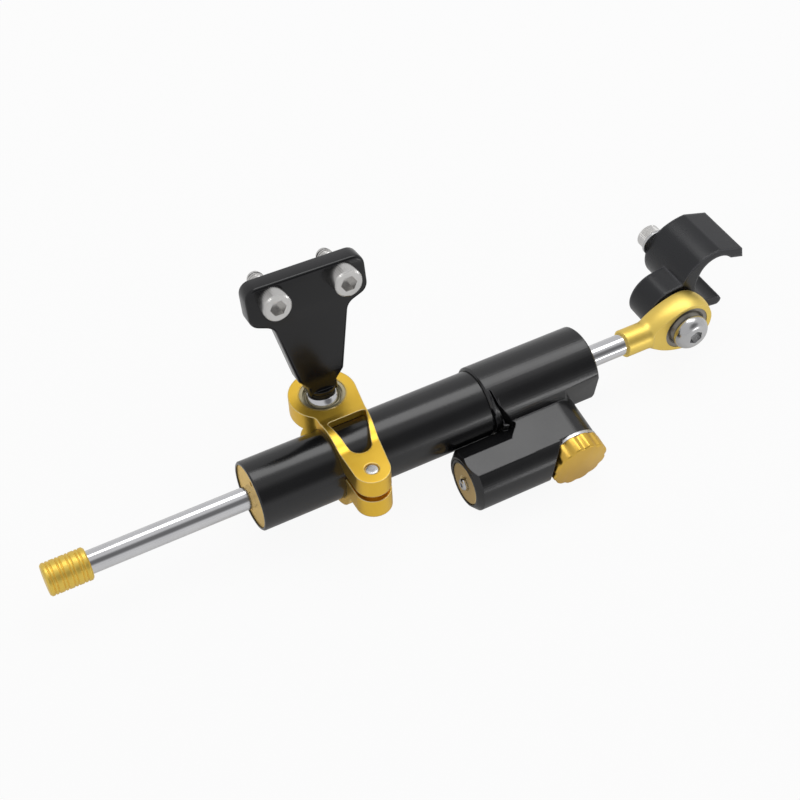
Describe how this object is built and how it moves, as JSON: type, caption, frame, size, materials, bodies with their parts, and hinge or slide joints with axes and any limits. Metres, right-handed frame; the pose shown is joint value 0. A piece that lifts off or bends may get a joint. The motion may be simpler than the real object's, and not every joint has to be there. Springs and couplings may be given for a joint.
{
  "type": "steering damper",
  "caption": "Steering damper: through-rod barrel with reservoir and click adjuster knob, a barrel clamp with a swivelling T bracket, and a rod end with a hook bracket.",
  "frame": {"origin": "on the rod's axis, level with the ball in the clamp's eye", "axes": "+X along the rod towards the rod end, -Y along the knob's axis out of its face, +Z out of the flat on the reservoir"},
  "size_m": [0.278, 0.0854, 0.078],
  "materials": {
    "black_anodised": "satin black anodised",
    "black_gloss": "gloss black anodised",
    "gold_anodised": "gold anodised",
    "clear_anodised": "clear anodised",
    "hard_chrome": "hard chrome, polished",
    "stainless": "turned stainless steel",
    "bearing_steel": "ground bearing steel",
    "spring_steel": "dark spring steel",
    "bronze": "turned bearing bronze",
    "seal_rubber": "black nitrile rubber",
    "ring_plastic": "filled slide ring plastic"
  },
  "bodies": {
    "frame_bracket": {"frame_bracket": "black_gloss", "bracket_screws": "stainless", "foot_screw": "stainless"},
    "clamp_ball": {"clamp_ball": "bearing_steel"},
    "damper": {"barrel_tube": "black_anodised", "gland_nut": "gold_anodised", "front_seal": "seal_rubber", "front_guide": "clear_anodised", "front_bush": "bronze", "adjuster_housing": "black_anodised", "rear_bush": "bronze", "rear_seal": "seal_rubber", "reservoir_plug": "gold_anodised", "plug_ring": "seal_rubber", "fill_screw": "stainless", "knob_washer": "clear_anodised", "adjuster_bush": "clear_anodised", "click_ball": "bearing_steel", "click_spring": "spring_steel", "clamp_collar": "gold_anodised", "clamp_screw": "stainless", "clamp_race": "bearing_steel", "snap_ring": "spring_steel"},
    "piston_ring": {"piston_ring": "ring_plastic"},
    "rod": {"piston_rod": "hard_chrome", "piston": "clear_anodised", "piston_clips": "spring_steel", "rod_cap": "gold_anodised", "rod_end": "gold_anodised", "rod_end_race": "bearing_steel"},
    "rod_end_ball": {"rod_end_ball": "bearing_steel"},
    "hook_bracket": {"hook_bracket": "black_anodised", "hook_screw": "stainless", "hook_washer": "stainless", "rod_end_bolt": "stainless"},
    "knob": {"adjuster_knob": "gold_anodised", "adjuster_spindle": "stainless"},
    "needle": {"metering_needle": "stainless"},
    "gas_piston": {"gas_piston": "clear_anodised", "gas_piston_ring": "seal_rubber"}
  },
  "joints": [
    {"name": "bracket_swivel", "type": "hinge", "parent": "frame_bracket", "child": "clamp_ball", "pos_m": [0, 0.02073, 0.00612], "axis": [0, 0.3584, 0.9336], "continuous": true},
    {"name": "clamp_tilt", "type": "hinge", "parent": "clamp_ball", "child": "damper", "pos_m": [0, 0.02073, 0.00612], "axis": [1, 0, 0], "range_deg": [-24.8, 6.8]},
    {"name": "rod_slide", "type": "slide", "parent": "damper", "child": "piston_ring", "axis": [1, 0, 0], "range_m": [-0.0175, 0.0563]},
    {"name": "rod_spin", "type": "hinge", "parent": "piston_ring", "child": "rod", "pos_m": [0, 0, 0], "axis": [1, 0, 0], "continuous": true},
    {"name": "rod_end_tilt", "type": "hinge", "parent": "rod", "child": "rod_end_ball", "pos_m": [0.1378, 0, 0], "axis": [0, 0.1633, 0.9866], "range_deg": [-5, 5]},
    {"name": "hook_swivel", "type": "hinge", "parent": "rod_end_ball", "child": "hook_bracket", "pos_m": [0.1378, 0, 0], "axis": [0, -0.9866, 0.1633], "range_deg": [-120, 90]},
    {"name": "knob_turn", "type": "hinge", "parent": "damper", "child": "knob", "pos_m": [0.0742, 0, -0.0075], "axis": [0, -1, 0], "range_deg": [-270, 270]},
    {"name": "needle_travel", "type": "slide", "parent": "damper", "child": "needle", "axis": [0, -1, 0], "range_m": [-0.00065, 0.00065]},
    {"name": "gas_piston_slide", "type": "slide", "parent": "damper", "child": "gas_piston", "axis": [1, 0, 0], "range_m": [-0.003, 0.003]}
  ],
  "couplings": [
    {"joint": "needle_travel", "follows": "knob_turn", "m_per_rad": 0.00012732}
  ]
}
